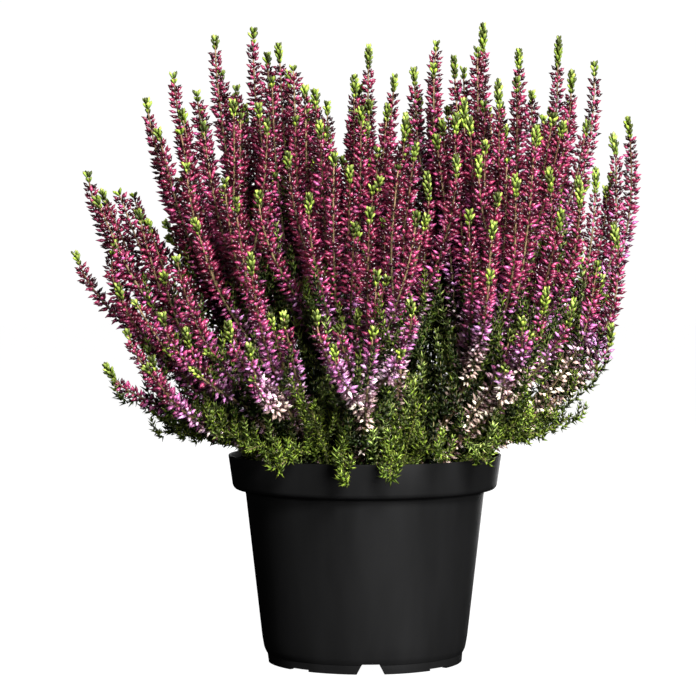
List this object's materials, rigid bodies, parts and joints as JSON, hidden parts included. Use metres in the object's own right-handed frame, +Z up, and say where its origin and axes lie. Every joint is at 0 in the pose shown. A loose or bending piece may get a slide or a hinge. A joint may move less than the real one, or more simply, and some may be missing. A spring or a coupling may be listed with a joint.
{
  "type": "potted heather",
  "caption": "Bud-flowering heather with upright purple spikes and green tips over a leafy skirt, growing in a round black nursery pot.",
  "frame": {"origin": "centre of the pot's foot ring, on the surface the pot stands on", "axes": "+Z up along the pot's axis; the front of the plant faces -Y, +X to its right"},
  "size_m": [0.2676, 0.2171, 0.302],
  "materials": {
    "pot_plastic": "matt black moulded plastic with a soft sheen",
    "peat": "dark crumbly peat",
    "heather_buds": "deep magenta closed buds, paler and lilac low down, with yellow-green tips",
    "heather_leaves": "dark to yellow green scale leaves"
  },
  "bodies": {
    "root": {"pot": "pot_plastic", "soil": "peat", "flower_branch_01": "heather_buds", "flower_branch_02": "heather_buds", "flower_branch_03": "heather_buds", "flower_branch_04": "heather_buds", "flower_branch_05": "heather_buds", "flower_branch_06": "heather_buds", "flower_branch_07": "heather_buds", "flower_branch_08": "heather_buds", "flower_branch_09": "heather_buds", "flower_branch_10": "heather_buds", "flower_branch_11": "heather_buds", "flower_branch_12": "heather_buds", "flower_branch_13": "heather_buds", "flower_branch_14": "heather_buds", "flower_branch_15": "heather_buds", "flower_branch_16": "heather_buds", "flower_branch_17": "heather_buds", "flower_branch_18": "heather_buds", "flower_branch_19": "heather_buds", "flower_branch_20": "heather_buds", "flower_branch_21": "heather_buds", "flower_branch_22": "heather_buds", "flower_branch_23": "heather_buds", "flower_branch_24": "heather_buds", "flower_branch_25": "heather_buds", "flower_branch_26": "heather_buds", "flower_branch_27": "heather_buds", "flower_branch_28": "heather_buds", "flower_branch_29": "heather_buds", "flower_branch_30": "heather_buds", "flower_branch_31": "heather_buds", "flower_branch_32": "heather_buds", "flower_branch_33": "heather_buds", "flower_branch_34": "heather_buds", "flower_branch_35": "heather_buds", "leafy_shoot_01": "heather_leaves", "leafy_shoot_02": "heather_leaves", "leafy_shoot_03": "heather_leaves", "leafy_shoot_04": "heather_leaves", "leafy_shoot_05": "heather_leaves", "leafy_shoot_06": "heather_leaves", "leafy_shoot_07": "heather_leaves", "leafy_shoot_08": "heather_leaves", "leafy_shoot_09": "heather_leaves", "leafy_shoot_10": "heather_leaves"}
  },
  "joints": []
}
